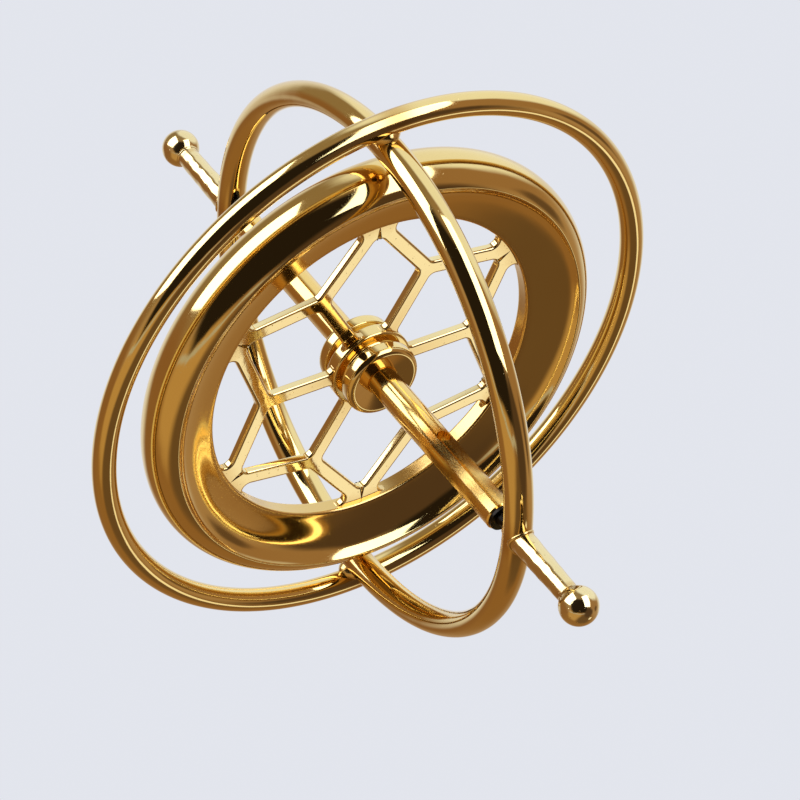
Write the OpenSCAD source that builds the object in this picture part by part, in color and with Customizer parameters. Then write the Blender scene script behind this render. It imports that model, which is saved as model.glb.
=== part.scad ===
// Hand-held gyroscope: a spoked flywheel that spins inside two crossed wire rings,
// balanced on the small ball at the end of its lower stem.
// +Z is the spin axis, from the lower ball to the upper ball, and the origin is the
// flywheel's centre. The arch ring stands in the XZ plane.

/* [Rings] */
// Outside diameter of the equator ring
ring_od = 64.6; // [60:0.1:70]
// Thickness of the equator ring's round wire
ring_wire = 2.5; // [2:0.1:3]
// Gap between the two rings where they cross, which the solder fills
ring_gap = 0.15; // [0.1:0.05:0.4]
// Thickness of the arch ring's wire, measured towards its centre
arch_wire = 2.7; // [2.4:0.1:3.2]
// Width that the arch ring's oval wire has beyond its thickness
arch_oval = 0.4; // [0.2:0.1:0.8]
// Diameter of the solder bead at each crossing of the rings
ring_solder_d = 3.8; // [3.6:0.1:4.2]

/* [Stems and balls] */
// Length of each stem, from the outside of the arch ring to the ball's centre
stem_length = 9.7; // [6:0.1:12]
// Diameter of each stem where it leaves the arch ring
stem_base_d = 2.65; // [2.5:0.05:3]
// Diameter of each stem where it meets its ball
stem_neck_d = 2.25; // [1.8:0.05:2.4]
// Diameter of the ball at the end of each stem
ball_d = 4; // [3.2:0.1:5]
// Diameter of the spigot that goes through the arch ring
spigot_d = 2; // [1.8:0.1:2.1]
// Diameter of the conical bearing seat in the spigot's inner end
seat_d = 1.6; // [1.3:0.05:1.7]
// Depth of the conical bearing seat
seat_depth = 0.9; // [0.7:0.05:1.1]
// Radius of the ring of solder round the foot of each stem
stem_solder = 0.45; // [0.35:0.05:0.6]

/* [Flywheel rim] */
// Running gap between the rim and the inside of the arch ring
rotor_gap = 1.25; // [0.8:0.05:2]
// Width of the rim, from its outside to its bore
rim_width = 7.3; // [7:0.1:8.5]
// Radius of the round section along the rim's outside
bead_r = 3.25; // [2.8:0.05:3.4]
// Place round that section where the funnel meets it, in degrees from straight outwards
foot_angle = 72.5; // [60:0.5:85]
// Radius of the funnel's hollow curve
funnel_r = 6; // [5:0.5:12]
// Thickness of the lip round the bore
lip_t = 1.9; // [1.5:0.05:2.4]
// Width of the lip round the bore
lip_w = 0.35; // [0.2:0.05:1]

/* [Spokes] */
// Width of each spoke and of its two branches
spoke_w = 1.6; // [1.2:0.05:2]
// Thickness of the spokes
spoke_t = 0.95; // [0.7:0.05:1]
// Bevel along the edges of the spokes
spoke_bevel = 0.22; // [0.1:0.01:0.3]
// Distance from the spin axis to the point where a spoke forks
fork_r = 12.2; // [11:0.1:13.5]
// Angle of the first spoke from +X at rest
rest_turn = 30.5; // [0:0.5:60]

/* [Hub] */
// Diameter of the hub's waist
hub_d = 6.6; // [6:0.1:7.2]
// Length of the hub's waist
hub_length = 3.4; // [3:0.1:5]
// Diameter of the plate round the waist that carries the spokes
hub_plate_d = 9; // [8.2:0.1:10]
// Thickness of the plate that carries the spokes
hub_plate_t = 1.6; // [1.2:0.1:2]
// Diameter of the collar at each end of the hub
collar_d = 7.8; // [7.4:0.1:8.6]
// Length of each collar
collar_length = 1.9; // [1.5:0.1:2.5]
// Radius of the round edge of each collar
collar_round = 0.6; // [0.3:0.05:0.7]
// Diameter of the recess round the axle in each collar
recess_d = 4.8; // [4.2:0.1:5.4]
// Depth of the recess round the axle in each collar
recess_depth = 0.8; // [0.4:0.1:1]

/* [Axle] */
// Diameter of the axle
axle_d = 3.2; // [2.8:0.1:3.6]
// Gap between each end of the axle and the inside of the arch ring
axle_gap = 1.25; // [1:0.05:2]
// Diameter of the hole through the axle that takes the pull string
string_hole_d = 1.5; // [1.2:0.1:1.8]
// Distance from the flywheel's centre to the string hole, towards the lower end
string_hole_drop = 14.2; // [9:0.1:19]
// Angle of the string hole from +X at rest
string_hole_turn = 8.5; // [0:0.5:20]
// Bevel round the ends of the axle
axle_bevel = 0.15; // [0.05:0.05:0.3]

/* [Pivots] */
// Diameter of the black shoulder that covers each end of the axle
shoulder_d = 2.8; // [2.4:0.1:2.8]
// Thickness of the black shoulder
shoulder_t = 0.35; // [0.2:0.05:0.5]
// Diameter of the pivot pin, which is pressed into the axle
pivot_d = 1.6; // [1.2:0.1:1.8]
// Length of the pivot pin inside the axle
pivot_depth = 3.5; // [2:0.5:5]
// Radius of the round point that turns in the bearing seat
point_r = 0.3; // [0.2:0.05:0.35]
// Clearance between the point and its bearing seat
point_clearance = 0.04; // [0.02:0.01:0.08]

/* [Hidden] */
$fn = 96;

spoke_count = 6;
cut = 0.01;                                     // how far a cutting shape runs past a face
fine = 360;                                     // sides of the round shapes that bound a small piece

// Rings: the arch ring stands inside the equator ring
ring_r = ring_od / 2 - ring_wire / 2;           // centre line of the equator ring's wire
ring_in_r = ring_r - ring_wire / 2;
arch_out_r = ring_in_r - ring_gap;
arch_r = arch_out_r - arch_wire / 2;            // centre line of the arch ring's wire
arch_in_r = arch_out_r - arch_wire;
crossing_r = (ring_in_r + arch_out_r) / 2;      // where the two rings are soldered

// Stems: the foot is buried in the arch ring's wire before the wire's shape is taken out
ball_z = arch_out_r + stem_length;
stem_foot_z = arch_r;
seat_slope = atan(seat_d / 2 / seat_depth);     // half angle of the bearing seat

// Rim: round outside, with a hollow funnel above and below that runs in to the lip
rim_r = arch_in_r - rotor_gap;
rim_bore_r = rim_r - rim_width;
bead_c = rim_r - bead_r;
foot = [bead_c + bead_r * cos(foot_angle), bead_r * sin(foot_angle)];
lip = [rim_bore_r + lip_w, lip_t / 2];
funnel_chord = norm(foot - lip);
funnel_normal = [lip.y - foot.y, foot.x - lip.x] / funnel_chord;
funnel_c = (foot + lip) / 2 + funnel_normal * sqrt(pow(funnel_r, 2) - pow(funnel_chord / 2, 2));

// Spokes: each fork's two branches end where the neighbours' branches do
spoke_step = 360 / spoke_count;
branch_end = [rim_bore_r * cos(spoke_step / 2), rim_bore_r * sin(spoke_step / 2)];
branch_angle = atan2(branch_end.y, branch_end.x - fork_r);
branch_length = norm(branch_end - [fork_r, 0]);

// Axle and pivots
axle_end_z = arch_in_r - axle_gap;
seat_apex_z = arch_in_r + seat_depth;
point_z = seat_apex_z - (point_r + point_clearance) / sin(seat_slope);

gold = [0.85, 0.66, 0.28];
pale_gold = [0.90, 0.77, 0.45];
deep_gold = [0.72, 0.50, 0.18];
black = [0.06, 0.06, 0.06];

// ---- Rings ----

module equator_wire() {
    rotate_extrude() translate([ring_r, 0]) circle(r = ring_wire / 2);
}

// The arch ring's oval wire, with no hole in it, in the XZ plane
module arch_wire_solid() {
    rotate([90, 0, 0]) rotate_extrude() translate([arch_r, 0]) {
        translate([0, arch_oval / 2]) circle(r = arch_wire / 2);
        translate([0, -arch_oval / 2]) circle(r = arch_wire / 2);
        square([arch_wire, arch_oval], center = true);
    }
}

module equator_ring() {
    color(gold) equator_wire();
}

module arch_ring() {
    color(gold) difference() {
        arch_wire_solid();
        for (side = [-1, 1])
            translate([0, 0, side * arch_r]) cylinder(d = spigot_d, h = 2 * arch_wire, center = true);
    }
}

// A bead of solder that fills the corners between the two wires
module ring_solder(side) {
    color(deep_gold) difference() {
        translate([side * crossing_r, 0, 0]) sphere(d = ring_solder_d);
        equator_wire();
        arch_wire_solid();
    }
}

// ---- Stems and balls, drawn for the upper end ----

// Outline of the stem and its ball beyond the arch ring's wire
module stem_outside() {
    translate([0, 0, stem_foot_z])
        cylinder(d1 = stem_base_d, d2 = stem_neck_d, h = ball_z - stem_foot_z);
    translate([0, 0, ball_z]) sphere(d = ball_d);
}

module stem() {
    color(pale_gold) difference() {
        union() {
            difference() {
                stem_outside();
                arch_wire_solid();
            }
            translate([0, 0, arch_in_r]) cylinder(d = spigot_d, h = arch_wire + stem_length / 4);
        }
        translate([0, 0, arch_in_r - cut])
            cylinder(d1 = seat_d + 2 * cut * tan(seat_slope), d2 = 0, h = seat_depth + cut);
    }
}

// A ring of solder round the foot of the stem
module stem_solder_ring() {
    color(deep_gold) difference() {
        rotate_extrude($fn = fine) translate([stem_base_d / 2, arch_out_r - stem_solder / 3])
            circle(r = stem_solder);
        arch_wire_solid($fn = fine);
        stem_outside($fn = fine);
    }
}

// ---- Flywheel ----

module flywheel_rim() {
    color(gold) rotate_extrude() {
        intersection() {
            translate([bead_c, 0]) circle(r = bead_r);
            translate([foot.x, -bead_r]) square(2 * bead_r);
        }
        difference() {
            polygon([[rim_bore_r, -lip.y], [lip.x, -lip.y], [foot.x, -foot.y], foot, lip, [rim_bore_r, lip.y]]);
            for (side = [-1, 1]) intersection() {
                translate([funnel_c.x, side * funnel_c.y]) circle(r = funnel_r);
                translate([lip.x, -foot.y]) square([foot.x - lip.x, 2 * foot.y]);
            }
        }
    }
}

// A flat bar with bevelled edges, lying along +X from the origin
module spoke_bar(length) {
    w = spoke_w / 2;
    t = spoke_t / 2;
    b = spoke_bevel;
    rotate([90, 0, 90]) linear_extrude(length)
        polygon([[w - b, -t], [w, b - t], [w, t - b], [w - b, t],
                 [b - w, t], [-w, t - b], [-w, b - t], [b - w, -t]]);
}

// The round joint where a spoke forks
module fork_joint() {
    rotate_extrude()
        polygon([[0, -spoke_t / 2], [spoke_w / 2 - spoke_bevel, -spoke_t / 2],
                 [spoke_w / 2, spoke_bevel - spoke_t / 2], [spoke_w / 2, spoke_t / 2 - spoke_bevel],
                 [spoke_w / 2 - spoke_bevel, spoke_t / 2], [0, spoke_t / 2]]);
}

// The share of the flywheel's opening that belongs to one spoke
module spoke_sector() {
    reach = rim_bore_r / cos(spoke_step / 2);
    intersection() {
        cylinder(r = rim_bore_r, h = 2 * spoke_t, center = true);
        linear_extrude(2 * spoke_t, center = true)
            polygon([[0, 0], reach * [cos(spoke_step / 2), -sin(spoke_step / 2)],
                     reach * [1, 0] * 1.2, reach * [cos(spoke_step / 2), sin(spoke_step / 2)]]);
    }
}

module spoke(number) {
    color(pale_gold) rotate([0, 0, rest_turn + (number - 1) * spoke_step]) difference() {
        intersection() {
            union() {
                spoke_bar(fork_r);
                translate([fork_r, 0, 0]) fork_joint();
                for (side = [-1, 1])
                    translate([fork_r, 0, 0]) rotate([0, 0, side * branch_angle])
                        spoke_bar(branch_length + spoke_w);
            }
            spoke_sector();
        }
        cylinder(d = hub_plate_d, h = 3 * spoke_t, center = true);
    }
}

module hub() {
    color(gold) difference() {
        union() {
            cylinder(d = hub_d, h = hub_length, center = true);
            cylinder(d = hub_plate_d, h = hub_plate_t, center = true);
        }
        cylinder(d = axle_d, h = 2 * hub_length, center = true);
    }
}

// Collar on the upper end of the hub
module hub_collar() {
    color(gold) translate([0, 0, hub_length / 2]) difference() {
        rotate_extrude() {
            square([collar_d / 2 - collar_round, collar_length]);
            square([collar_d / 2, collar_length - collar_round]);
            translate([collar_d / 2 - collar_round, collar_length - collar_round])
                circle(r = collar_round);
        }
        translate([0, 0, -collar_length]) cylinder(d = axle_d, h = 3 * collar_length);
        translate([0, 0, collar_length - recess_depth]) cylinder(d = recess_d, h = 2 * recess_depth);
    }
}

// ---- Axle and pivots ----

module axle() {
    half = axle_end_z - shoulder_t;
    color(pale_gold) difference() {
        rotate_extrude()
            polygon([[0, -half], [axle_d / 2 - axle_bevel, -half], [axle_d / 2, axle_bevel - half],
                     [axle_d / 2, half - axle_bevel], [axle_d / 2 - axle_bevel, half], [0, half]]);
        for (side = [-1, 1]) translate([0, 0, side * half])
            cylinder(d = pivot_d, h = 2 * (pivot_depth - shoulder_t), center = true);
        translate([0, 0, -string_hole_drop]) rotate([0, 90, string_hole_turn])
            cylinder(d = string_hole_d, h = 2 * axle_d, center = true);
    }
}

// Black pivot pin of the upper end, with a shoulder against the axle and a round point
module pivot() {
    color(black) {
        translate([0, 0, axle_end_z - pivot_depth]) cylinder(d = pivot_d, h = pivot_depth);
        translate([0, 0, axle_end_z - shoulder_t]) cylinder(d = shoulder_d, h = shoulder_t);
        translate([0, 0, axle_end_z]) cylinder(r1 = pivot_d / 2, r2 = point_r, h = point_z - axle_end_z);
        translate([0, 0, point_z]) sphere(r = point_r);
    }
}

equator_ring();
arch_ring();
ring_solder(1);  // front_ring_solder
ring_solder(-1);  // rear_ring_solder
mirror([0, 0, 1]) stem();  // lower_stem
stem();  // upper_stem
mirror([0, 0, 1]) stem_solder_ring();  // lower_stem_solder
stem_solder_ring();  // upper_stem_solder
flywheel_rim();
hub();
mirror([0, 0, 1]) hub_collar();  // lower_hub_collar
hub_collar();  // upper_hub_collar
spoke(1);  // spoke_1
spoke(2);  // spoke_2
spoke(3);  // spoke_3
spoke(4);  // spoke_4
spoke(5);  // spoke_5
spoke(6);  // spoke_6
axle();
mirror([0, 0, 1]) pivot();  // lower_pivot
pivot();  // upper_pivot
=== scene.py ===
"""Hand-held gyroscope: polished, gold-plated rings and flywheel, and the studio that shows them."""
import math

import bpy
import numpy as np
from bpy.props import FloatProperty, FloatVectorProperty, PointerProperty
from mathutils import Matrix, Vector
from mathutils.geometry import tessellate_polygon


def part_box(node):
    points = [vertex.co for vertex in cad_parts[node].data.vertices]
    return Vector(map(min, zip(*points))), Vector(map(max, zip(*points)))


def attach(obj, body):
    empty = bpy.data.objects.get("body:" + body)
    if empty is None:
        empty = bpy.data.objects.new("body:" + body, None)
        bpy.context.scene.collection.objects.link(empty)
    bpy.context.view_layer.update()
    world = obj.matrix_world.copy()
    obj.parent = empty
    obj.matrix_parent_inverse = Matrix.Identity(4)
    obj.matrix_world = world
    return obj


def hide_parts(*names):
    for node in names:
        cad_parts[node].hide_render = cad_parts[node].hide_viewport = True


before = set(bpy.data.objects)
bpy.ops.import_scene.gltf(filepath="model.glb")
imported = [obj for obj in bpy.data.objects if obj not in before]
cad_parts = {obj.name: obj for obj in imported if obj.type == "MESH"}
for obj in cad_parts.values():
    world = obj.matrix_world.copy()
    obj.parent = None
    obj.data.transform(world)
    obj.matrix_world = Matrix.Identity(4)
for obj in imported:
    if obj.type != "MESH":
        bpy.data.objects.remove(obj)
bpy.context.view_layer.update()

bl_info = {
    "name": "Hand-held Gyroscope",
    "version": (1, 0, 0),
    "blender": (4, 5, 0),
    "location": "View3D > Sidebar > Gyroscope",
    "description": "Builds the polished rings, the spoked flywheel and the studio of a hand-held gyroscope",
    "category": "Object",
}

MM = 0.001

FRAME_BODY = "ring_frame"
FLYWHEEL_BODY = "flywheel"
ENDS = (("lower", -1), ("upper", 1))
SPOKES = 6

# Points round a piece
RING_STEPS = 720
WIRE_STEPS = 64
RIM_STEPS = 500
HUB_STEPS = 160
STEM_STEPS = 128
ROUND_STEPS = 96    # solder and floor


# ---- Sizes that follow from the frame, in millimetres ----


def _reach(node, axis):
    """Largest coordinate of a CAD node along one axis, in millimetres."""
    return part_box(node)[1][axis] / MM


def _low(node, axis):
    """Smallest coordinate of a CAD node along one axis, in millimetres."""
    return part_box(node)[0][axis] / MM


RING_OUT = _reach("equator_ring", 0)
RING_WIRE = 2 * _reach("equator_ring", 2)
RING_MID = RING_OUT - RING_WIRE / 2
ARCH_OUT = _reach("arch_ring", 2)
ARCH_WIDTH = 2 * _reach("arch_ring", 1)
SEAT_MOUTH = _low("upper_stem", 2)
ARCH_WIRE = ARCH_OUT - SEAT_MOUTH
ARCH_MID = ARCH_OUT - ARCH_WIRE / 2
BALL_TOP = _reach("upper_stem", 2)
BALL_R = _reach("upper_stem", 0)
BALL_Z = BALL_TOP - BALL_R
RIM_OUT = _reach("flywheel_rim", 0)
PLATE_R = _reach("hub", 0)
WAIST_TOP = _reach("hub", 2)
COLLAR_R = _reach("upper_hub_collar", 0)
COLLAR_TOP = _reach("upper_hub_collar", 2)
SPOKE_HALF_T = _reach("spoke_1", 2)
AXLE_R = _reach("axle", 0)


class GYRO_PG_sizes(bpy.types.PropertyGroup):
    """Sizes in millimetres that the frame's boxes don't give, and how even the work is."""

    rim_width: FloatProperty(
        name="Rim width", description="From the rim's outside to its bore, in mm", default=7.3, min=6, max=9)
    bead_r: FloatProperty(
        name="Rim radius", description="Radius of the rim's round outside, in mm",
        default=3.25, min=2.8, max=3.4)
    foot_angle: FloatProperty(
        name="Ridge angle", description="Where the funnel meets the round outside, in degrees",
        default=72.5, min=60, max=85)
    ridge: FloatProperty(
        name="Ridge", description="How far the ridge is rounded from its sharp corner, in mm",
        default=0.18, min=0.05, max=0.3)
    funnel_low: FloatProperty(
        name="Funnel at the lip", description="Slope of the funnel at the lip, in degrees",
        default=12, min=0, max=20)
    funnel_high: FloatProperty(
        name="Funnel at the ridge", description="Slope of the funnel at the ridge, in degrees",
        default=62, min=40, max=75)
    lip_width: FloatProperty(
        name="Lip width", description="Width of the lip round the bore, in mm", default=0.35, min=0.2, max=1)
    lip_thick: FloatProperty(
        name="Lip thickness", description="Thickness of the lip, in mm", default=1.9, min=1.5, max=2.4)
    spoke_width: FloatProperty(
        name="Spoke width", description="Width of a spoke, in mm", default=1.6, min=1, max=2.2)
    spoke_edge: FloatProperty(
        name="Spoke edge", description="Radius of a spoke's rounded edges, in mm",
        default=0.24, min=0.1, max=0.4)
    spoke_fillet: FloatProperty(
        name="Spoke fillet", description="Radius in the corners of the spokes, in mm",
        default=0.8, min=0.3, max=1.2)
    fork_r: FloatProperty(
        name="Fork distance", description="From the spin axis to a spoke's fork, in mm",
        default=12.2, min=10, max=14)
    first_spoke: FloatProperty(
        name="First spoke", description="Angle of the first spoke from +X, in degrees",
        default=30.5, min=0, max=60)
    hub_waist_r: FloatProperty(
        name="Hub waist", description="Radius of the hub's waist, in mm", default=3.3, min=2.8, max=3.6)
    hub_plate_t: FloatProperty(
        name="Hub plate", description="Thickness of the plate that carries the spokes, in mm",
        default=1.6, min=1, max=2)
    collar_swell: FloatProperty(
        name="Collar swell", description="How much the plating adds to a collar's radius, in mm",
        default=0.2, min=0, max=0.3)
    collar_dressing: FloatProperty(
        name="Collar dressing", description="How much is dressed off a collar's face, in mm",
        default=0.4, min=0, max=0.6)
    dish_depth: FloatProperty(
        name="Dish depth", description="Depth of the dish in a collar's face, in mm",
        default=0.45, min=0.2, max=0.8)
    stem_base_r: FloatProperty(
        name="Stem foot", description="Radius of a stem where it leaves the arch ring, in mm",
        default=1.325, min=1.1, max=1.5)
    stem_neck_r: FloatProperty(
        name="Stem neck", description="Radius of a stem at its ball, in mm", default=1.125, min=0.8, max=1.3)
    spigot_r: FloatProperty(
        name="Spigot", description="Radius of the spigot through the arch ring, in mm",
        default=1.0, min=0.8, max=1.1)
    seat_r: FloatProperty(
        name="Seat", description="Radius of the bearing seat's mouth, in mm", default=0.8, min=0.6, max=0.9)
    seat_depth: FloatProperty(
        name="Seat depth", description="Depth of the bearing seat, in mm", default=0.9, min=0.6, max=1.1)
    equator_shift: FloatVectorProperty(
        name="Equator shift", description="How far the equator ring sits off centre, in mm",
        default=(0.23, 0.80, 0.04), min=-1.5, max=1.5)
    equator_tilt: FloatVectorProperty(
        name="Equator tilt", description="Rise of the equator ring towards +X and +Y, in mm",
        size=2, default=(-0.55, 0.49), min=-1.5, max=1.5)
    equator_oval: FloatVectorProperty(
        name="Equator oval", description="Growth of the radius as cos 2a and sin 2a, in mm",
        size=2, default=(-0.145, 0.24), min=-1, max=1)
    arch_shift: FloatVectorProperty(
        name="Arch shift", description="How far the arch ring's sides sit off centre, in mm",
        default=(0.50, 0.13, 0.0), min=-1.5, max=1.5)
    arch_tilt: FloatVectorProperty(
        name="Arch tilt", description="Lean of the arch ring towards +X and +Z, in mm",
        size=2, default=(0.08, 0.13), min=-1.5, max=1.5)
    arch_oval: FloatVectorProperty(
        name="Arch oval", description="Growth of the radius as cos 2a and sin 2a, in mm",
        size=2, default=(-0.115, -0.107), min=-1, max=1)
    unevenness: FloatProperty(
        name="Unevenness", description="How far hand-bent wire and plating wander, in mm",
        default=0.05, min=0, max=0.2)


COLOUR = {"subtype": "COLOR", "min": 0, "max": 1}


class GYRO_PG_finish(bpy.types.PropertyGroup):
    """Colours of the plating, and of the studio."""

    gold: FloatVectorProperty(
        name="Gold", description="Polished gold plate", default=(0.87, 0.66, 0.265), **COLOUR)
    deep_gold: FloatVectorProperty(
        name="Deep gold", description="Gold plate in corners and at joints",
        default=(0.66, 0.40, 0.12), **COLOUR)
    pale_gold: FloatVectorProperty(
        name="Pale gold", description="Thinner, paler plate on turned pieces",
        default=(0.88, 0.71, 0.35), **COLOUR)
    warm_gold: FloatVectorProperty(
        name="Warm gold", description="Thicker, warmer plate on the axle",
        default=(0.91, 0.63, 0.20), **COLOUR)
    black_steel: FloatVectorProperty(
        name="Black steel", description="Oiled steel of the pivots", default=(0.020, 0.019, 0.018), **COLOUR)
    bare_steel: FloatVectorProperty(
        name="Bare steel", description="Steel where the oil has worn thin",
        default=(0.05, 0.035, 0.02), **COLOUR)
    backdrop: FloatVectorProperty(
        name="Backdrop", description="Pale colour behind the object", default=(0.765, 0.785, 0.845), **COLOUR)
    floor: FloatVectorProperty(
        name="Floor", description="Pale colour of the floor", default=(0.77, 0.75, 0.71), **COLOUR)


# ---- Surfaces ----


def grid_mesh(name, points, close_columns=False, poles=(None, None), tarnish=None, caps=()):
    """Mesh of a grid of points, rows by columns, in millimetres.

    Each point joins the next in its row and its column, and the last column joins the first;
    close_columns joins the last row to the first too. poles are points that close the first and the
    last row with a fan, and caps are flat faces more over the same points. tarnish, on the same
    grid, is kept as an attribute of the points.
    """
    rows, columns = points.shape[:2]
    index = np.arange(rows * columns).reshape(rows, columns)
    index = np.concatenate([index, index[:, :1]], axis=1)
    if close_columns:
        index = np.concatenate([index, index[:1]], axis=0)
    quads = np.stack([index[:-1, :-1], index[:-1, 1:], index[1:, 1:], index[1:, :-1]], axis=-1).reshape(-1, 4)
    places = points.reshape(-1, 3)
    fans = []
    for row, pole in ((0, poles[0]), (-1, poles[1])):
        if pole is None:
            continue
        tip = np.full(index.shape[1] - 1, len(places))
        places = np.concatenate([places, np.array([pole], float)])
        ring = (index[row, 1:], index[row, :-1]) if row == 0 else (index[row, :-1], index[row, 1:])
        fans.append(np.stack([*ring, tip], axis=-1))
    faces = quads.tolist() + [triangle for fan in fans for triangle in fan.tolist()]
    mesh = bpy.data.meshes.new(name)
    mesh.from_pydata((places * MM).tolist(), [], faces + list(caps))
    mesh.polygons.foreach_set("use_smooth", [True] * len(faces) + [False] * len(caps))
    values = np.zeros(len(places), np.float32)
    if tarnish is not None:
        values[:rows * columns] = np.broadcast_to(tarnish, (rows, columns)).reshape(-1)
    mesh.attributes.new("tarnish", "FLOAT", "POINT").data.foreach_set("value", values)
    return mesh


def arc(centre, radius, start, end, count):
    """Points on a circle: the centre plus radius times (cos, sin) of angles from start to end, in degrees."""
    angle = np.radians(np.linspace(start, end, count))
    return np.stack([centre[0] + radius * np.cos(angle), centre[1] + radius * np.sin(angle)], axis=-1)


def line(start, end, count):
    """Points on a straight line from start to end."""
    step = np.linspace(0, 1, count)[:, None]
    return np.asarray(start, float) * (1 - step) + np.asarray(end, float) * step


def around(count):
    """Angles all the way round, in radians."""
    return np.linspace(0, 2 * np.pi, count, endpoint=False)


def turn_piece(name, profile, steps, tarnish=None):
    """Turned piece: (radius, height) pairs revolved about Z, with any end on the axis closed to a point.

    At the angle a, x = radius cos a and y = radius sin a.
    """
    ends = [profile[0, 0] < 1e-6, profile[-1, 0] < 1e-6]
    kept = slice(int(ends[0]), len(profile) - int(ends[1]))
    poles = [(0, 0, profile[side, 1]) if ends[side] else None for side in (0, -1)]
    shade = None if tarnish is None else tarnish[kept, None]
    a = around(steps)
    r, z = profile[kept, 0, None], profile[kept, 1, None]
    points = np.stack([r * np.cos(a), r * np.sin(a), z + 0 * a], axis=-1)
    return grid_mesh(name, points, close_columns=not any(ends), poles=poles, tarnish=shade)


def near(distance, reach):
    """Share that falls as a bell curve from 1 with the distance."""
    return np.exp(-(distance / reach) ** 2)


def waves(angle, seed, orders, size):
    """Smooth wandering round a closed loop: a sum of sines of whole orders with fixed random phases."""
    source = np.random.default_rng(seed)
    total = np.zeros_like(angle)
    for order in orders:
        share = source.uniform(0.5, 1)
        total += share * np.sin(order * angle + source.uniform(0, 2 * np.pi)) / np.sqrt(order)
    return size * total / len(orders)


def wire_ring(name, radius, thick, wide, upright, seed, uneven, joints, shift, tilt, oval):
    """A bent wire ring: an oval section carried round a loop that is nearly a circle.

    At ring angle a and section angle s the distance from the axis is radius + oval terms in 2a +
    thick/2 cos s, and the offset along the axis is tilt terms in a + wide/2 sin s. Both wander a little
    with a, as hand-bent wire does; shift then moves the loop. An upright ring stands in the XZ plane and
    is shifted only by cos^2 a, so that its poles stay on the spin axis. Tarnish rises at the joints.
    """
    a = around(RING_STEPS)[:, None]
    s = around(WIRE_STEPS)[None, :]
    hold = np.cos(a) ** 2 if upright else 1.0
    middle = radius + waves(a, seed, (2, 3, 5, 8), uneven) + oval[0] * np.cos(2 * a) + oval[1] * np.sin(2 * a)
    if upright:
        middle = middle + oval[0] * np.sin(a) ** 4
    side = waves(a, seed + 1, (2, 3, 6, 9), uneven) * hold + tilt[0] * np.cos(a) + tilt[1] * np.sin(a) * hold
    swell = 1 + waves(a, seed + 2, (7, 12, 19, 31), 0.25 * uneven)
    out = middle + thick / 2 * swell * np.cos(s)
    along = side + wide / 2 * swell * np.sin(s)
    points = np.stack([out * np.cos(a), out * np.sin(a), along], axis=-1)
    if upright:
        points = np.stack([points[..., 0], -points[..., 2], points[..., 1]], axis=-1)
    points = points + (np.asarray(shift) * np.expand_dims(hold, -1) if upright else np.asarray(shift))
    shade = np.zeros_like(a)
    for joint in joints:
        gap = np.abs((a - math.radians(joint) + np.pi) % (2 * np.pi) - np.pi) * radius
        shade = np.maximum(shade, near(gap, 1.8))
    return grid_mesh(name, points, close_columns=True, tarnish=shade + 0 * s)


BEAD_SIZE = np.array([1.15, 1.30, 1.28])    # half the size along X, Y and Z, in mm
BEAD_CREEP = (0.26, 0.22)                   # how much further it runs along Y and Z


def solder_bead(name, centre, seed):
    """Solder that has run into the crossing: a ball whose radius grows towards both wires and wanders.

    In the unit direction d from the crossing, radius = base (1 + creep_y d_y^4 + creep_z d_z^4) + waves,
    and the base is an ellipsoid.
    """
    lat = np.linspace(-np.pi / 2, np.pi / 2, 50)[1:-1, None]
    lon = around(ROUND_STEPS)[None, :]
    d = np.stack([np.cos(lat) * np.cos(lon), np.cos(lat) * np.sin(lon), np.sin(lat) + 0 * lon], axis=-1)
    lump = waves(lon + 2 * lat, seed, (2, 3, 5), 0.08) + waves(3 * lat - lon, seed + 1, (1, 4), 0.05)
    radius = 1 / np.linalg.norm(d / BEAD_SIZE, axis=-1)
    creep = 1 + BEAD_CREEP[0] * d[..., 1] ** 4 + BEAD_CREEP[1] * d[..., 2] ** 4
    radius = radius * creep + lump * np.cos(lat) ** 2
    points = centre + radius[..., None] * d
    tips = [centre + np.array([0, 0, side * BEAD_SIZE[2] * (1 + BEAD_CREEP[1])]) for side in (-1, 1)]
    return grid_mesh(name, points, poles=tips, tarnish=np.full(points.shape[:2], 0.55))


# ---- Profiles of turned pieces, as (radius, height) in millimetres ----


def rim_profile(sizes):
    """Section of the rim: lip, hollow funnel, ridge and round outside, above and below alike.

    The funnel's slope grows with the cube of the way along it, and the curve is fitted between the lip
    and the outside. The ridge is a parabola whose control point is the sharp corner it rounds.
    """
    bore = RIM_OUT - sizes.rim_width
    middle = np.array([RIM_OUT - sizes.bead_r, 0])
    turn = math.radians(sizes.foot_angle)
    foot = middle + sizes.bead_r * np.array([math.cos(turn), math.sin(turn)])
    edge = 0.3
    lip = np.array([bore + sizes.lip_width, sizes.lip_thick / 2])
    funnel = slope_curve(lip, foot, sizes.funnel_low, sizes.funnel_high, 30)
    shorter = sizes.ridge / sizes.bead_r
    outside = arc(middle, sizes.bead_r, sizes.foot_angle - math.degrees(shorter), 0, 56)
    t = np.linspace(0, 1, 8)[:, None]
    ridge = (1 - t) ** 2 * funnel[-2] + 2 * t * (1 - t) * foot + t ** 2 * outside[0]
    upper = np.concatenate([
        line((bore, 0), (bore, lip[1] - edge), 5),
        arc((bore + edge, lip[1] - edge), edge, 180, 90, 7)[1:],
        funnel[1:-2],
        ridge,
        outside[1:-1],
    ])
    lower = upper[1:][::-1] * [1, -1]
    return np.concatenate([upper, [[RIM_OUT, 0]], lower])


def slope_curve(start, end, low, high, count):
    """Curve from start to end whose slope grows from low to high degrees with the cube of the way.

    The slope's cosine and sine are summed along the way, and the sum is turned and scaled to the chord.
    """
    way = np.linspace(0, 1, 20 * count)
    slope = np.radians(low + (high - low) * way ** 3)
    path = np.cumsum(np.exp(1j * slope))
    path = (path - path[0]) / (path[-1] - path[0]) * complex(*(end - start))
    points = start + np.stack([path.real, path.imag], axis=-1)
    return points[np.linspace(0, len(way) - 1, count).astype(int)]


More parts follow.
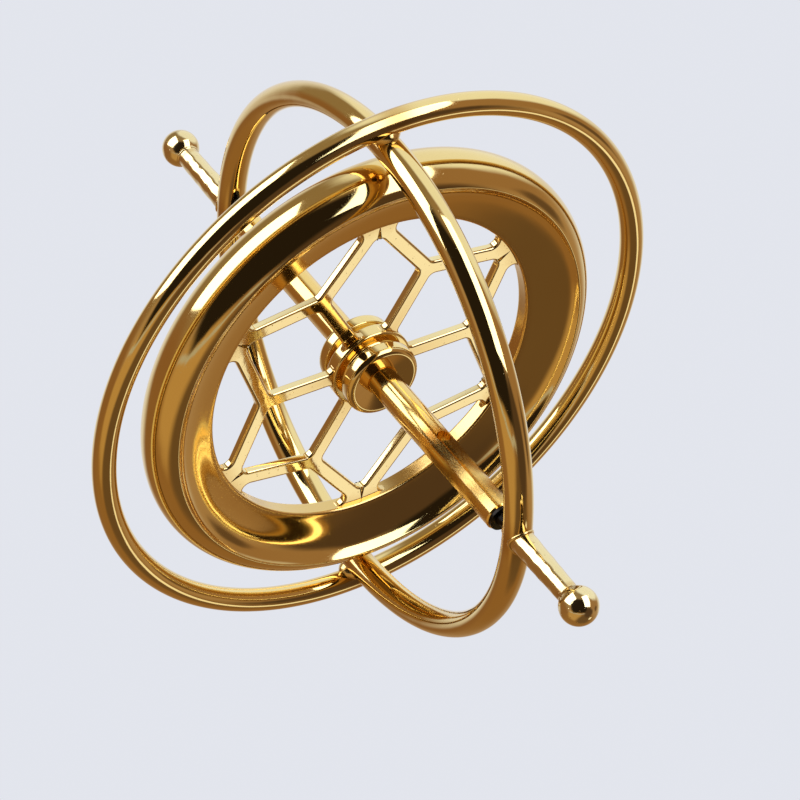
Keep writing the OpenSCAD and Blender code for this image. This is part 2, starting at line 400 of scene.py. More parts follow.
def bearing(step):
    """Direction of a step in the plane, in degrees."""
    return math.degrees(math.atan2(step[1], step[0]))


def stem_profile(sizes):
    """Section of the upper stem: bearing seat, spigot, foot, tapering shank, neck and ball."""
    neck_z = BALL_Z - math.sqrt(BALL_R ** 2 - sizes.stem_neck_r ** 2)
    start = bearing((sizes.stem_neck_r, neck_z - BALL_Z))
    edge = 0.08
    return np.concatenate([
        [[0, SEAT_MOUTH + sizes.seat_depth]],
        line((0.05, SEAT_MOUTH + sizes.seat_depth - 0.05), (sizes.seat_r, SEAT_MOUTH), 8),
        arc((sizes.spigot_r - edge, SEAT_MOUTH + edge), edge, -90, 0, 5),
        line((sizes.spigot_r, ARCH_MID - 0.4), (sizes.spigot_r, ARCH_MID), 2),
        line((sizes.stem_base_r, ARCH_MID + 0.05), (sizes.stem_neck_r + 0.02, neck_z - 0.25), 60),
        arc((sizes.stem_neck_r + 0.26, neck_z - 0.13), 0.24, 180, 118, 6)[1:],
        arc((0, BALL_Z), BALL_R, start + 5, 89, 48),
        [[0, BALL_TOP]],
    ])


def hub_profile(sizes):
    """Section of the hub: waist, and the plate that carries the spokes, closed along the axle."""
    half = sizes.hub_plate_t / 2
    edge, root = 0.25, 0.35
    waist = sizes.hub_waist_r
    upper = np.concatenate([
        line((AXLE_R, WAIST_TOP), (waist, WAIST_TOP), 3),
        line((waist, WAIST_TOP - 0.05), (waist, half + root), 5),
        arc((waist + root, half + root), root, 180, 270, 7)[1:],
        arc((PLATE_R - edge, half - edge), edge, 90, 0, 7),
    ])
    lower = upper[::-1] * [1, -1]
    return np.concatenate([upper, lower])[::-1]


def collar_profile(sizes):
    """Section of the upper hub collar: rounded outside edge and a shallow dish that falls to the axle."""
    edge, foot = 0.6, 0.15
    out, top = COLLAR_R + sizes.collar_swell, COLLAR_TOP - sizes.collar_dressing
    slope = bearing((out - edge - AXLE_R, sizes.dish_depth))
    rim = arc((out - edge, top - edge), edge, 0, 90 + slope, 18)
    return np.concatenate([
        line((AXLE_R, WAIST_TOP), (out - foot, WAIST_TOP), 3),
        arc((out - foot, WAIST_TOP + foot), foot, -90, 0, 4)[1:],
        rim,
        line(rim[-1], (AXLE_R, top - sizes.dish_depth), 12)[1:],
    ])


# ---- Spokes ----


def fillet(centre, radius, start, end, count=12):
    """Corner arc between two points on a circle, taken the short way round."""
    a, b = (bearing(np.subtract(point, centre)) for point in (start, end))
    b = a + (b - a + 180) % 360 - 180
    return arc(centre, radius, a, b, count)


def fork_outline(sizes):
    """Outline of one forked spoke in the XY plane, as the half above the X axis.

    The spoke leaves the hub plate along +X, forks at fork_r, and its branch runs to the rim's bore on
    the line half way to the next spoke. Corners are arcs that touch both of their sides. Also gives,
    for each point, how much of the rounded edge it takes: none where it is buried or meets its twin.
    """
    half = sizes.spoke_width / 2
    r = sizes.spoke_fillet
    bore = RIM_OUT - sizes.rim_width
    bury = 0.08
    step = math.pi / SPOKES
    share = np.array([math.cos(step), math.sin(step)])
    fork = np.array([sizes.fork_r, 0.0])
    along = bore * share - fork
    along /= np.linalg.norm(along)
    back = np.array([-along[1], along[0]])
    # hub end: the arc touches the plate from outside and the spoke's side
    hub_y = half + r
    hub_c = np.array([math.sqrt((PLATE_R + r) ** 2 - hub_y ** 2), hub_y])
    hub_arc = fillet(hub_c, r, hub_c * PLATE_R / (PLATE_R + r), hub_c + [0, -r])
    # back corner, between the spoke's side and the branch
    reach = (half + r - back[1] * (half + r)) / along[1]
    back_c = fork + back * (half + r) + along * reach
    back_arc = fillet(back_c, r, back_c + [0, -r], back_c - back * r)
    # notch shared with the next spoke, centred on the line between them
    normal = np.array([share[1], -share[0]])
    offset = fork + back * (half + r)
    slide = -(offset @ normal) / (along @ normal)
    notch_c = offset + along * slide
    notch_arc = fillet(notch_c, r, notch_c - back * r, notch_c + share * r)
    # front corner, between the branch and the rim's bore
    offset = fork - back * (half + r)
    b = offset @ along
    slide = -b + math.sqrt(b * b - offset @ offset + (bore - r) ** 2)
    front_c = offset + along * slide
    front_arc = fillet(front_c, r, front_c / np.linalg.norm(front_c) * bore, front_c + back * r)
    # middle corner, between the two branches
    slide = -offset[1] / along[1]
    middle_c = offset + along * slide
    middle_arc = fillet(middle_c, r, middle_c + back * r, middle_c + [-r, 0])
    buried = bore + bury
    rim_arc = fillet((0, 0), buried, share * buried, front_arc[0] / bore * buried, 8)
    hub_in = PLATE_R - 2 * bury
    foot = fillet((0, 0), hub_in, (hub_in, 0), hub_arc[0] / PLATE_R * hub_in, 6)
    pieces = ((foot, 0), (hub_arc, 1), (back_arc, 1), (notch_arc, 1), (rim_arc, 0), (front_arc, 1),
              (middle_arc, 1))
    outline = np.concatenate([piece for piece, _ in pieces])
    weight = np.concatenate([np.full(len(piece), float(rounded)) for piece, rounded in pieces])
    return outline, weight


def spoke_mesh(name, sizes, turn):
    """A forked spoke: its outline carried up over a rounded edge, flat above and below.

    Level by level the outline moves inwards by edge (1 - cos t) while its height grows to
    half - edge (1 - sin t); a last step inwards at the same height keeps the flat face flat.
    """
    half_outline, half_weight = fork_outline(sizes)
    mirrored = half_outline[::-1] * [1, -1]
    outline = np.concatenate([half_outline, mirrored[1:-1]])[::-1]
    weight = np.concatenate([half_weight, half_weight[::-1][1:-1]])[::-1]
    tangent = np.roll(outline, -1, axis=0) - np.roll(outline, 1, axis=0)
    tangent /= np.linalg.norm(tangent, axis=1)[:, None]
    inward = np.stack([-tangent[:, 1], tangent[:, 0]], axis=-1)
    edge = sizes.spoke_edge
    angles = np.radians(np.linspace(0, 90, 6))
    drop = [(0.0, 0.0)]
    drop += [(edge * (1 - math.cos(t)), SPOKE_HALF_T - edge * (1 - math.sin(t))) for t in angles]
    drop += [(edge + 0.06, SPOKE_HALF_T)]
    levels = []
    for sign in (-1, 1):
        order = drop[::-1] if sign < 0 else drop[1:]
        for inset, height in order:
            flat = outline + inward * (inset * weight)[:, None]
            levels.append(np.concatenate([flat, np.full((len(flat), 1), sign * height)], axis=1))
    points = np.array(levels)
    spin = np.array(Matrix.Rotation(math.radians(turn), 3, "Z"))
    points = points @ spin.T
    from_axis = np.linalg.norm(points[..., :2], axis=-1)
    bore = RIM_OUT - sizes.rim_width
    tarnish = near(from_axis - PLATE_R, 0.8) + near(bore - from_axis, 0.8)
    last = (len(points) - 1) * points.shape[1]
    cap = np.array(tessellate_polygon([[Vector((x, y, 0)) for x, y, _ in levels[-1]]]))
    corners = levels[-1][cap][:, :, :2]
    first, second = corners[:, 1] - corners[:, 0], corners[:, 2] - corners[:, 0]
    clockwise = first[:, 0] * second[:, 1] < first[:, 1] * second[:, 0]
    cap[clockwise] = cap[clockwise][:, ::-1]
    caps = cap[:, ::-1].tolist() + (cap + last).tolist()
    return grid_mesh(name, points, tarnish=0.6 * tarnish, caps=caps)


# ---- Shader groups and materials ----


KINDS = {"value": "NodeSocketFloat", "color": "NodeSocketColor", "vector": "NodeSocketVector"}


def new_group(name, result, kind, **inputs):
    """Empty shader node group with one result; gives the group, its inputs and the result's socket."""
    group = bpy.data.node_groups.new(name, "ShaderNodeTree")
    for label, of_kind in inputs.items():
        group.interface.new_socket(name=label, in_out="INPUT", socket_type=KINDS[of_kind])
    group.interface.new_socket(name=result, in_out="OUTPUT", socket_type=KINDS[kind])
    return group, group.nodes.new("NodeGroupInput").outputs, group.nodes.new("NodeGroupOutput").inputs[0]


def feed(tree, socket, value):
    """Link an output to a socket, or set the socket to a plain value."""
    if isinstance(value, bpy.types.NodeSocket):
        tree.links.new(value, socket)
    else:
        socket.default_value = value


def math_node(tree, operation, value, *others):
    """Math node for each further value, fed by sockets or plain numbers; gives the last one's output."""
    for other in others or (0.0,):
        node = tree.nodes.new("ShaderNodeMath")
        node.operation = operation
        feed(tree, node.inputs[0], value)
        feed(tree, node.inputs[1], other)
        value = node.outputs[0]
    return value


def vector_node(tree, operation, *values):
    """Vector Math node fed by sockets or plain vectors; gives its output."""
    node = tree.nodes.new("ShaderNodeVectorMath")
    node.operation = operation
    for socket, value in zip(node.inputs, values):
        feed(tree, socket, value)
    return node.outputs["Value" if operation == "DOT_PRODUCT" else "Vector"]


def mix_node(tree, amount, first, second):
    """Mix of two colours by an amount; gives its output."""
    node = tree.nodes.new("ShaderNodeMix")
    node.data_type = "RGBA"
    for index, value in ((0, amount), (6, first), (7, second)):
        feed(tree, node.inputs[index], value)
    return node.outputs[2]


def noise_node(tree, vector, scale, detail=2.0, roughness=0.5, output="Fac"):
    """Noise texture on a vector; gives its height, or the output of that name."""
    node = tree.nodes.new("ShaderNodeTexNoise")
    for label, value in (("Vector", vector), ("Scale", scale), ("Detail", detail), ("Roughness", roughness)):
        feed(tree, node.inputs[label], value)
    return node.outputs[output]


def step_node(tree, value, low, high, to_low=0.0, to_high=1.0):
    """Smooth step of a value from low to high; gives its output."""
    node = tree.nodes.new("ShaderNodeMapRange")
    node.interpolation_type = "SMOOTHSTEP"
    for label, number in (("Value", value), ("From Min", low), ("From Max", high), ("To Min", to_low),
                          ("To Max", to_high)):
        feed(tree, node.inputs[label], number)
    return node.outputs["Result"]


def plating_group():
    """Height of the plating: long soft ripple, fine orange peel and a few sunk pits."""
    group, given, result = new_group(
        "Plating Relief", "Height", "value", Vector="vector", Ripple="value", Peel="value", Pits="value")
    vector = given["Vector"]
    ripple = math_node(group, "MULTIPLY", noise_node(group, vector, 260.0, 1.5), given["Ripple"])
    peel = math_node(group, "MULTIPLY", noise_node(group, vector, 2400.0, 2.0), given["Peel"], 0.06)
    pit = step_node(group, noise_node(group, vector, 3600.0, 1.0), 0.70, 0.80)
    pit = math_node(group, "MULTIPLY", pit, given["Pits"], -0.25)
    group.links.new(math_node(group, "ADD", ripple, peel, pit), result)
    return group


def handling_group():
    """Mask of finger smudges: a soft noise cut to patches, with fine streaks from a second in them."""
    group, given, result = new_group("Handling Marks", "Mask", "value", Vector="vector", Amount="value")
    vector = given["Vector"]
    patch = step_node(group, noise_node(group, vector, 95.0, 3.0), 0.48, 0.70)
    streak = step_node(group, noise_node(group, vector, 1500.0, 3.0, 0.7), 0.35, 0.70, 0.45, 1.0)
    group.links.new(math_node(group, "MULTIPLY", patch, streak, given["Amount"]), result)
    return group


def scratch_group():
    """Mask of hair-fine scratches: two sets of thin lines on stretched, gently bent coordinates."""
    group, given, result = new_group("Hair Scratches", "Mask", "value", Vector="vector", Amount="value")
    total = None
    for turn, stretch in (((0.3, 0.9, 0.2), (900, 9000, 900)), ((1.2, 0.1, 1.9), (7600, 800, 800))):
        mapping = group.nodes.new("ShaderNodeMapping")
        mapping.inputs["Rotation"].default_value = turn
        mapping.inputs["Scale"].default_value = stretch
        group.links.new(given["Vector"], mapping.inputs["Vector"])
        lines = step_node(group, noise_node(group, mapping.outputs["Vector"], 1.0, 1.0), 0.66, 0.74)
        total = lines if total is None else math_node(group, "MAXIMUM", total, lines)
    group.links.new(math_node(group, "MULTIPLY", total, given["Amount"]), result)
    return group


def tone_group():
    """Colour of the plate: slow drift between two tones, and a deeper one where tarnish gathers."""
    group, given, result = new_group(
        "Plate Tone", "Color", "color", Vector="vector", Plate="color", Deep="color", Drift="value",
        Tarnish="value")
    drift = step_node(group, noise_node(group, given["Vector"], 60.0, 2.0), 0.3, 0.75)
    drift = math_node(group, "MULTIPLY", drift, given["Drift"])
    amount = math_node(group, "MAXIMUM", drift, math_node(group, "MULTIPLY", given["Tarnish"], 0.8))
    group.links.new(mix_node(group, amount, given["Plate"], given["Deep"]), result)
    return group


def lathe_group():
    """Height of turning lines: noise that depends only on the distance from the spin axis and the height."""
    group, given, result = new_group("Turning Lines", "Height", "value", Vector="vector", Lines="value")
    split = group.nodes.new("ShaderNodeSeparateXYZ")
    group.links.new(given["Vector"], split.inputs[0])
    x, y, z = split.outputs
    square = math_node(group, "ADD", math_node(group, "MULTIPLY", x, x), math_node(group, "MULTIPLY", y, y))
    join = group.nodes.new("ShaderNodeCombineXYZ")
    group.links.new(math_node(group, "SQRT", square), join.inputs[0])
    group.links.new(z, join.inputs[1])
    height = noise_node(group, join.outputs[0], 5200.0, 2.0, 0.6)
    group.links.new(math_node(group, "MULTIPLY", height, given["Lines"]), result)
    return group


GROUPS = {}


def place_group(tree, builder, vector, **values):
    """Put a shared group in a material, on the object's own coordinates, with its values."""
    if builder not in GROUPS:
        GROUPS[builder] = builder()
    node = tree.nodes.new("ShaderNodeGroup")
    node.node_tree = GROUPS[builder]
    for label, value in {"Vector": vector, **values}.items():
        feed(tree, node.inputs[label], value)
    return node.outputs[0]


def metal_material(name, plate, deep, roughness, smudge, relief, scratch, drift, lines, depth):
    """Polished metal: a Principled surface whose colour, roughness and relief come from the shared groups."""
    colours = bpy.context.scene.gyro_finish
    material = bpy.data.materials.new(name)
    material.use_nodes = True
    tree = material.node_tree
    surface = tree.nodes["Principled BSDF"]
    surface.inputs["Metallic"].default_value = 1.0
    place = tree.nodes.new("ShaderNodeTexCoord").outputs["Object"]
    stain = tree.nodes.new("ShaderNodeAttribute")
    stain.attribute_name = "tarnish"
    tarnish = stain.outputs["Fac"]
    tone = place_group(tree, tone_group, place, Plate=(*getattr(colours, plate), 1),
                       Deep=(*getattr(colours, deep), 1), Drift=drift, Tarnish=tarnish)
    tree.links.new(tone, surface.inputs["Base Color"])
    marks = place_group(tree, handling_group, place, Amount=smudge)
    hairs = place_group(tree, scratch_group, place, Amount=scratch)
    stained = math_node(tree, "MULTIPLY", tarnish, 0.12)
    tree.links.new(math_node(tree, "ADD", marks, hairs, roughness, stained), surface.inputs["Roughness"])
    ripple, peel, pits = relief
    height = place_group(tree, plating_group, place, Ripple=ripple, Peel=peel, Pits=pits)
    if lines:
        height = math_node(tree, "ADD", height, place_group(tree, lathe_group, place, Lines=lines))
    bump = tree.nodes.new("ShaderNodeBump")
    bump.inputs["Strength"].default_value = 1.0
    bump.inputs["Distance"].default_value = depth
    tree.links.new(height, bump.inputs["Height"])
    tree.links.new(bump.outputs["Normal"], surface.inputs["Normal"])
    return material


# Finishes: colours of the plate and of its deep parts, roughness, smudges, relief as ripple, peel and pits,
# scratches, drift between the colours, turning lines, and depth of the relief in metres
FINISHES = {
    "ring_gold": ("gold", "deep_gold", 0.055, 0.08, (1.0, 0.12, 0.3), 0.04, 0.12, 0.0, 0.00003),
    "flywheel_gold": ("gold", "deep_gold", 0.075, 0.06, (0.4, 0.03, 0.2), 0.03, 0.18, 0.01, 0.00003),
    "spoke_gold": ("pale_gold", "deep_gold", 0.05, 0.04, (0.5, 0.8, 0.4), 0.03, 0.15, 0.0, 0.00003),
    "axle_gold": ("warm_gold", "deep_gold", 0.13, 0.08, (0.4, 0.06, 0.3), 0.04, 0.15, 0.02, 0.00003),
    "stem_gold": ("pale_gold", "deep_gold", 0.10, 0.10, (3.0, 1.4, 1.6), 0.05, 0.2, 0.0, 0.00004),
    "solder_gold": ("gold", "deep_gold", 0.16, 0.10, (5.0, 3.0, 2.0), 0.0, 0.45, 0.0, 0.00004),
    "black_steel": ("black_steel", "bare_steel", 0.32, 0.10, (0.6, 1.5, 1.0), 0.1, 0.3, 0.2, 0.00002),
}
MATERIALS = {}


def finish(name):
    """The material of that name, built when first asked for."""
    if name not in MATERIALS:
        MATERIALS[name] = metal_material(name, *FINISHES[name])
    return MATERIALS[name]


# ---- Placing pieces ----


def show_piece(name, mesh, body, material, nodes):
    """Put a finished mesh in the scene, on its body, in place of its CAD nodes."""
    piece = bpy.data.objects.new(name, mesh)
    bpy.context.scene.collection.objects.link(piece)
    mesh.materials.append(finish(material))
    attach(piece, body)
    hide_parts(*nodes)
    return piece


def refinish(node, material):
    """Give a CAD node that keeps its own mesh its proper material."""
    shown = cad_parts[node]
    shown.data.materials.clear()
    shown.data.materials.append(finish(material))
    shown.data.polygons.foreach_set("material_index", [0] * len(shown.data.polygons))


class GYRO_OT_rings(bpy.types.Operator):
    """Build the equator ring and the arch ring"""

    bl_idname = "gyro.rings"
    bl_label = "Wire rings"

    def execute(self, context):
        sizes = context.scene.gyro_sizes
        equator = wire_ring("equator_ring_wire", RING_MID, RING_WIRE, RING_WIRE, False, 11, sizes.unevenness,
                            (0, 180), sizes.equator_shift, sizes.equator_tilt, sizes.equator_oval)
        show_piece("equator_ring_wire", equator, FRAME_BODY, "ring_gold", ["equator_ring"])
        arch = wire_ring("arch_ring_wire", ARCH_MID, ARCH_WIRE, ARCH_WIDTH, True, 23, 0.7 * sizes.unevenness,
                         (0, 90, 180, 270), sizes.arch_shift, sizes.arch_tilt, sizes.arch_oval)
        show_piece("arch_ring_wire", arch, FRAME_BODY, "ring_gold", ["arch_ring"])
        return {"FINISHED"}


class GYRO_OT_solder(bpy.types.Operator):
    """Build the solder at the crossings of the rings and round the feet of the stems"""

    bl_idname = "gyro.solder"
    bl_label = "Solder"

    def execute(self, context):
        sizes = context.scene.gyro_sizes
        for place, side in (("front", 1), ("rear", -1)):
            node = f"{place}_ring_solder"
            bead = solder_bead(node, crossing(sizes, side), 5 + side)
            show_piece(f"{node}_bead", bead, FRAME_BODY, "solder_gold", [node])
        for place, side in ENDS:
            node = f"{place}_stem_solder"
            show_piece(f"{node}_ring", stem_solder(node, sizes, side), FRAME_BODY, "solder_gold", [node])
        return {"FINISHED"}


def crossing(sizes, side):
    """Middle of the joint where the equator ring passes the arch ring at +X or -X."""
    inside = side * (RING_MID + sizes.equator_oval[0] - RING_WIRE / 2) + sizes.equator_shift[0]
    outside = side * (ARCH_MID + sizes.arch_oval[0] + ARCH_WIRE / 2) + sizes.arch_shift[0]
    return np.array([(inside + outside) / 2, 0, sizes.equator_shift[2] + side * sizes.equator_tilt[0]])


SOLDER_THICK = 0.24     # radius of the solder's section round a stem's foot, in mm
SOLDER_SUNK = 0.04      # how far its middle lies under the metal, in mm


def stem_solder(name, sizes, side):
    """Solder round a stem's foot: a thin ring that follows the saddle where the stem leaves the wire.

    At the angle a its middle lies on the wire's oval section, at the height thick/2 sqrt(1 - (y/wide/2)^2)
    over the wire's middle with y = foot sin a. Its thickness wanders round the stem.
    """
    a = around(ROUND_STEPS)[:, None]
    s = around(24)[None, :]
    foot = sizes.stem_base_r
    thick = SOLDER_THICK + waves(a, 40 + side, (1, 2, 3, 5), 0.09)
    saddle = ARCH_MID + ARCH_WIRE / 2 * np.sqrt(1 - (foot * np.sin(a) / (ARCH_WIDTH / 2)) ** 2)
    out = foot - SOLDER_SUNK + thick * np.cos(s)
    up = saddle - SOLDER_SUNK + waves(a, 50 + side, (1, 2, 4), 0.06) + thick * np.sin(s)
    points = np.stack([out * np.cos(a), out * np.sin(a), up], axis=-1)
    points = points if side > 0 else points[::-1] * [1, 1, -1]
    return grid_mesh(name, points, close_columns=True, tarnish=np.full(points.shape[:2], 0.35))


class GYRO_OT_stems(bpy.types.Operator):
    """Build the two stems with their balls"""

    bl_idname = "gyro.stems"
    bl_label = "Stems and balls"

    def execute(self, context):
        sizes = context.scene.gyro_sizes
        profile = stem_profile(sizes)
        for place, side in ENDS:
            height = profile[:, 1]
            tarnish = 0.7 * near(height - (BALL_Z - BALL_R), 0.35) + 0.5 * near(height - ARCH_OUT, 0.6)
            stem = turn_piece(f"{place}_stem_turned", profile, STEM_STEPS, tarnish)
            wander(stem, side, 0.5 * sizes.unevenness)
            show_piece(f"{place}_stem_turned", stem, FRAME_BODY, "stem_gold", [f"{place}_stem"])
        return {"FINISHED"}


def wander(mesh, side, size):
    """Move a stem's points: its radius wanders by sines of angle and height; side -1 turns it over."""
    count = len(mesh.vertices)
    places = np.zeros(count * 3, np.float32)
    mesh.vertices.foreach_get("co", places)
    places = places.reshape(-1, 3) / MM
    angle = np.arctan2(places[:, 1], places[:, 0])
    height = places[:, 2]
    shank = np.clip((height - ARCH_MID) / 1.5, 0, 1) * np.clip((BALL_Z - BALL_R - height) / 1.0, 0, 1)
    bump = np.sin(2 * angle + 1.7 * height + side) + 0.8 * np.sin(3 * angle - 2.9 * height)
    bump += 0.6 * np.sin(5 * angle + 4.3 * height + 2 * side)
    places[:, :2] *= (1 + size * 0.35 * shank * bump / 1.2)[:, None]
    if side < 0:
        places[:, 2] *= -1
        mesh.flip_normals()
    mesh.vertices.foreach_set("co", (places * MM).reshape(-1))
    mesh.update()


class GYRO_OT_flywheel(bpy.types.Operator):
    """Build the flywheel's rim, hub and collars"""

    bl_idname = "gyro.flywheel"
    bl_label = "Rim and hub"

    def execute(self, context):
        sizes = context.scene.gyro_sizes
        profile = rim_profile(sizes)
        bore = RIM_OUT - sizes.rim_width
        tarnish = 0.7 * near(profile[:, 0] - bore, 0.5)
        rim = turn_piece("flywheel_rim_cast", profile, RIM_STEPS, tarnish)
        show_piece("flywheel_rim_cast", rim, FLYWHEEL_BODY, "flywheel_gold", ["flywheel_rim"])
        hub = turn_piece("hub_waist", hub_profile(sizes), HUB_STEPS)
        show_piece("hub_waist", hub, FLYWHEEL_BODY, "flywheel_gold", ["hub"])
        for place, side in ENDS:
            section = collar_profile(sizes)
            if side < 0:
                section = section[::-1] * [1, -1]
            collar = turn_piece(f"{place}_collar_turned", section, HUB_STEPS)
            show_piece(f"{place}_collar_turned", collar, FLYWHEEL_BODY, "flywheel_gold",
                       [f"{place}_hub_collar"])
        return {"FINISHED"}


class GYRO_OT_spokes(bpy.types.Operator):
    """Build the forked spokes"""

    bl_idname = "gyro.spokes"
    bl_label = "Forked spokes"

    def execute(self, context):
        sizes = context.scene.gyro_sizes
        for number in range(SPOKES):
            turn = sizes.first_spoke + number * 360 / SPOKES
            node = f"spoke_{number + 1}"
            spoke = spoke_mesh(f"{node}_cast", sizes, turn)
            show_piece(f"{node}_cast", spoke, FLYWHEEL_BODY, "spoke_gold", [node])
        return {"FINISHED"}


class GYRO_OT_axle(bpy.types.Operator):
    """Finish the axle and the pivots"""

    bl_idname = "gyro.axle"
    bl_label = "Axle and pivots"

    def execute(self, context):
        refinish("axle", "axle_gold")
        for place, _ in ENDS:
            refinish(f"{place}_pivot", "black_steel")
        return {"FINISHED"}


# ---- Studio ----

# Camera of the photograph: where it stands, in millimetres, and which way its right and its up point
CAMERA_PLACE = Vector((279.61, -172.71, -266.89))
CAMERA_RIGHT = Vector((0.04941, 0.85618, -0.51431))
CAMERA_UP = Vector((0.74385, 0.31209, 0.59100))
CAMERA_PIXELS = 4187.4
FRAME_PIXELS = 800
SENSOR_MM = 36

# Lamps: name, degrees right of and above the camera as seen from the object, distance, width and height in
# metres, tilt in degrees, and brightness of the panel
LAMPS = (
    ("left_window", -61, 36, 0.70, 0.66, 0.68, -25, 3.2),
    ("right_window", 46, 25, 0.70, 0.42, 0.74, 0, 2.8),
)
DAYLIGHT = (0.92, 0.99, 1.16)
# The panel over the floor: name, direction, distance, width, height and brightness
OVERHEAD = ("overhead_panel", (-0.15, 0.25, 1), 0.9, 0.7, 0.7, 0.7)

# Room seen in the metal: its own paint, and paints laid over it in turn, each with where it lies as bounds of
# the cosine to directions that are given in degrees right of and above the camera
ROOM_PAINT = (0.42, 0.28, 0.17)
ROOM = (
    ((0.30, 0.225, 0.14), ((-100, 60, 0.20, 0.70),)),
    ((0.27, 0.14, 0.06), ((-110, -20, 0.60, 0.90),)),
    ((0.30, 0.16, 0.06), ((0, -90, 0.35, 0.75),)),
    ((0.52, 0.33, 0.14), ((-35, -50, 0.76, 0.93),)),
    ((0.15, 0.09, 0.045), ((75, -68, 0.78, 0.93),)),
    ((0.09, 0.055, 0.035), ((62, -28, 0.86, 0.95),)),
    ((0.35, 0.21, 0.11), ((88, 15, 0.80, 0.93),)),
    ((0.14, 0.085, 0.05), ((106, -8, 0.975, 0.997),)),
    ((0.02, 0.014, 0.010), ((0, 0, 0.60, 0.76), (0, -90, 0.62, 0.54), (0, 90, 0.80, 0.55))),
    ((0.50, 0.50, 0.53), ((5, 46, -0.04, -0.01), (5, 46, 0.055, 0.02), (-15, -38, 0.70, 0.85))),
    ((0.80, 0.81, 0.88), ((180, 0, 0.50, 0.82), (0, 90, -0.36, -0.06))),
    ((1.10, 1.07, 1.02), ((110, -47, 0.9925, 0.9965),)),
    ((0.96, 1.04, 1.18), ((125, 58, 0.70, 0.85),)),
)
STIR = 0.08         # how far the noise stirs the room's directions
STIR_SCALE = 3.5

# Floor: radii of its rings in metres, how far it lies under the ball in millimetres, and how dark the clouds
# on its paint are
FLOOR_RINGS = (4.0, 1.2, 0.3, 0.02, 0.0)
FLOOR_GAP = 0.02
FLOOR_CLOUD = 0.97


def photo_axes():
    """Right, up and back of the photograph's camera, as unit vectors square to each other."""
    back = CAMERA_RIGHT.cross(CAMERA_UP).normalized()
    right = CAMERA_UP.cross(back).normalized()
    return right, back.cross(right), back


def photo_way(aside, above):
    """Direction so many degrees right of and above the camera, as seen from the object."""
    right, up, back = photo_axes()
    aside, above = math.radians(aside), math.radians(above)
    return (right * math.sin(aside) + back * math.cos(aside)) * math.cos(above) + up * math.sin(above)


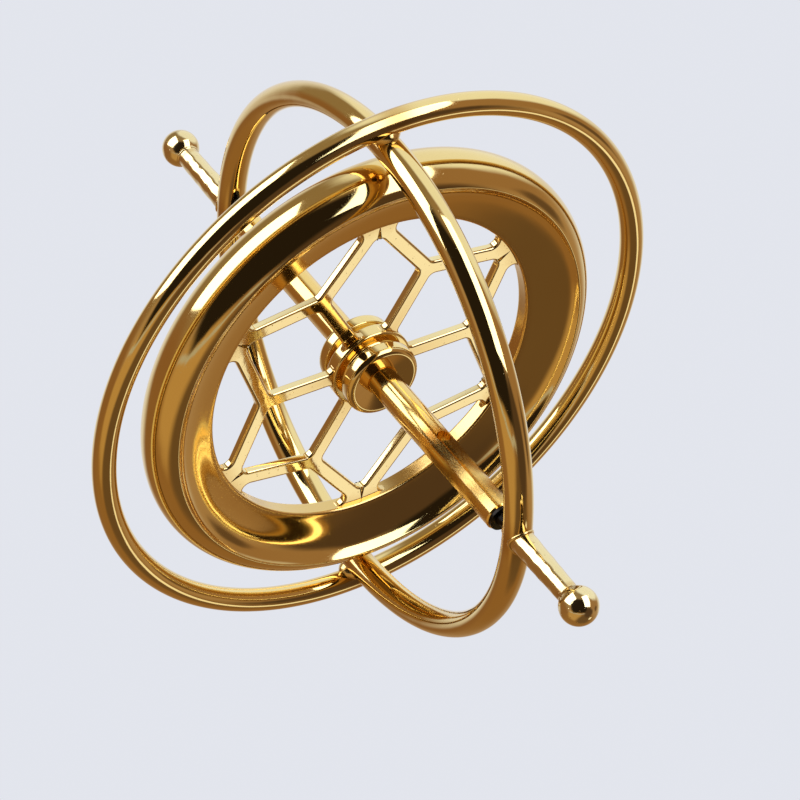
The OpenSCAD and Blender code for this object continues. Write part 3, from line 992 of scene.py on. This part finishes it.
class GYRO_OT_stage(bpy.types.Operator):
    """Build the camera, the floor, the lamps and the surroundings"""

    bl_idname = "gyro.stage"
    bl_label = "Studio"

    def execute(self, context):
        scene = context.scene
        scene.view_settings.view_transform = "Standard"
        self.camera(scene)
        self.floor(scene)
        self.lamps(scene)
        self.surroundings(scene)
        return {"FINISHED"}

    def camera(self, scene):
        """Camera where the photograph was taken from, with its own lens."""
        right, up, back = photo_axes()
        data = bpy.data.cameras.new("photo_camera")
        data.sensor_width = SENSOR_MM
        data.lens = CAMERA_PIXELS / FRAME_PIXELS * SENSOR_MM
        data.clip_start = 0.01
        data.clip_end = 20
        camera = bpy.data.objects.new("photo_camera", data)
        turn = Matrix((right, up, back)).transposed().to_4x4()
        camera.matrix_world = Matrix.Translation(CAMERA_PLACE * MM) @ turn
        scene.collection.objects.link(camera)
        scene.camera = camera

    def floor(self, scene):
        """Pale floor under the lower ball, which can be seen through from below."""
        profile = np.array([(ring / MM, -BALL_TOP - FLOOR_GAP) for ring in FLOOR_RINGS])
        mesh = turn_piece("floor", profile, ROUND_STEPS)
        floor = bpy.data.objects.new("floor", mesh)
        scene.collection.objects.link(floor)
        material = bpy.data.materials.new("floor_paint")
        material.use_nodes = True
        tree = material.node_tree
        paint = tree.nodes["Principled BSDF"]
        paint.inputs["Roughness"].default_value = 0.85
        place = tree.nodes.new("ShaderNodeTexCoord").outputs["Object"]
        cloud = step_node(tree, noise_node(tree, place, 6.0, 3.0), 0.3, 0.7)
        pale = scene.gyro_finish.floor
        tone = mix_node(tree, cloud, (*pale, 1), (*[FLOOR_CLOUD * part for part in pale], 1))
        tree.links.new(tone, paint.inputs["Base Color"])
        clear = tree.nodes.new("ShaderNodeBsdfTransparent")
        choose = tree.nodes.new("ShaderNodeMixShader")
        tree.links.new(tree.nodes.new("ShaderNodeNewGeometry").outputs["Backfacing"], choose.inputs[0])
        tree.links.new(paint.outputs[0], choose.inputs[1])
        tree.links.new(clear.outputs[0], choose.inputs[2])
        tree.links.new(choose.outputs[0], tree.nodes["Material Output"].inputs["Surface"])
        mesh.materials.append(material)
        floor.visible_glossy = False

    def lamps(self, scene):
        """Large soft panels on the camera's side, and one over the floor."""
        up = photo_axes()[1]
        for name, aside, above, distance, width, height, tilt, bright in LAMPS:
            self.panel(scene, name, photo_way(aside, above), up, distance, width, height, tilt, bright)
        name, way, distance, width, height, bright = OVERHEAD
        way, up = Vector(way).normalized(), Vector((1, 0, 0))
        overhead = self.panel(scene, name, way, up, distance, width, height, 0, bright)
        overhead.visible_glossy = False

    def panel(self, scene, name, way, up, distance, width, height, tilt, bright):
        """Rectangular lamp at a distance along a direction, facing the object."""
        data = bpy.data.lights.new(name, "AREA")
        data.shape = "RECTANGLE"
        data.size = width
        data.size_y = height
        data.energy = bright * width * height * math.pi
        data.color = DAYLIGHT
        lamp = bpy.data.objects.new(name, data)
        side = up.cross(way).normalized()
        turn = Matrix((side, way.cross(side), way)).transposed().to_4x4()
        turn = turn @ Matrix.Rotation(math.radians(tilt), 4, "Z")
        lamp.matrix_world = Matrix.Translation(way * distance) @ turn
        lamp.visible_camera = False
        scene.collection.objects.link(lamp)
        return lamp

    def surroundings(self, scene):
        """World: pale backdrop for the camera, and for reflections the room, laid on paint by paint."""
        world = bpy.data.worlds.new("studio")
        scene.world = world
        world.use_nodes = True
        tree = world.node_tree
        tree.nodes.clear()
        look = tree.nodes.new("ShaderNodeTexCoord").outputs["Generated"]
        blur = noise_node(tree, look, STIR_SCALE, 3.0, output="Color")
        look = vector_node(tree, "MULTIPLY_ADD", blur, [2 * STIR] * 3, look)
        look = vector_node(tree, "NORMALIZE", vector_node(tree, "ADD", look, [-STIR] * 3))
        colour = (*ROOM_PAINT, 1)
        for paint, bounds in ROOM:
            mask = 1.0
            for aside, above, low, high in bounds:
                dot = vector_node(tree, "DOT_PRODUCT", look, photo_way(aside, above))
                mask = math_node(tree, "MULTIPLY", step_node(tree, dot, low, high), mask)
            colour = mix_node(tree, mask, colour, (*paint, 1))
        room = tree.nodes.new("ShaderNodeBackground")
        tree.links.new(colour, room.inputs["Color"])
        backdrop = tree.nodes.new("ShaderNodeBackground")
        backdrop.inputs["Color"].default_value = (*scene.gyro_finish.backdrop, 1)
        choose = tree.nodes.new("ShaderNodeMixShader")
        tree.links.new(tree.nodes.new("ShaderNodeLightPath").outputs["Is Camera Ray"], choose.inputs[0])
        tree.links.new(room.outputs[0], choose.inputs[1])
        tree.links.new(backdrop.outputs[0], choose.inputs[2])
        leave = tree.nodes.new("ShaderNodeOutputWorld")
        tree.links.new(choose.outputs[0], leave.inputs["Surface"])


class GYRO_PT_panel(bpy.types.Panel):
    """Buttons that build the gyroscope and its studio, and the sizes and colours they use"""

    bl_idname = "GYRO_PT_panel"
    bl_label = "Gyroscope"
    bl_space_type = "VIEW_3D"
    bl_region_type = "UI"
    bl_category = "Gyroscope"

    def draw(self, context):
        for settings in (context.scene.gyro_sizes, context.scene.gyro_finish):
            column = self.layout.column(align=True)
            for key in settings.__annotations__:
                column.prop(settings, key)
        for operator in OPERATORS:
            self.layout.operator(operator.bl_idname)


OPERATORS = (GYRO_OT_rings, GYRO_OT_solder, GYRO_OT_stems, GYRO_OT_flywheel, GYRO_OT_spokes, GYRO_OT_axle,
             GYRO_OT_stage)
CLASSES = (GYRO_PG_sizes, GYRO_PG_finish, *OPERATORS, GYRO_PT_panel)


def register():
    """Add the classes and the scene's settings."""
    for cls in CLASSES:
        bpy.utils.register_class(cls)
    bpy.types.Scene.gyro_sizes = PointerProperty(type=GYRO_PG_sizes)
    bpy.types.Scene.gyro_finish = PointerProperty(type=GYRO_PG_finish)


def unregister():
    """Take the settings and the classes away again."""
    del bpy.types.Scene.gyro_sizes
    del bpy.types.Scene.gyro_finish
    for cls in reversed(CLASSES):
        bpy.utils.unregister_class(cls)


def main():
    """Build every piece and the studio."""
    register()
    bpy.ops.gyro.rings()
    bpy.ops.gyro.solder()
    bpy.ops.gyro.stems()
    bpy.ops.gyro.flywheel()
    bpy.ops.gyro.spokes()
    bpy.ops.gyro.axle()
    bpy.ops.gyro.stage()


if __name__ == "__main__":
    main()
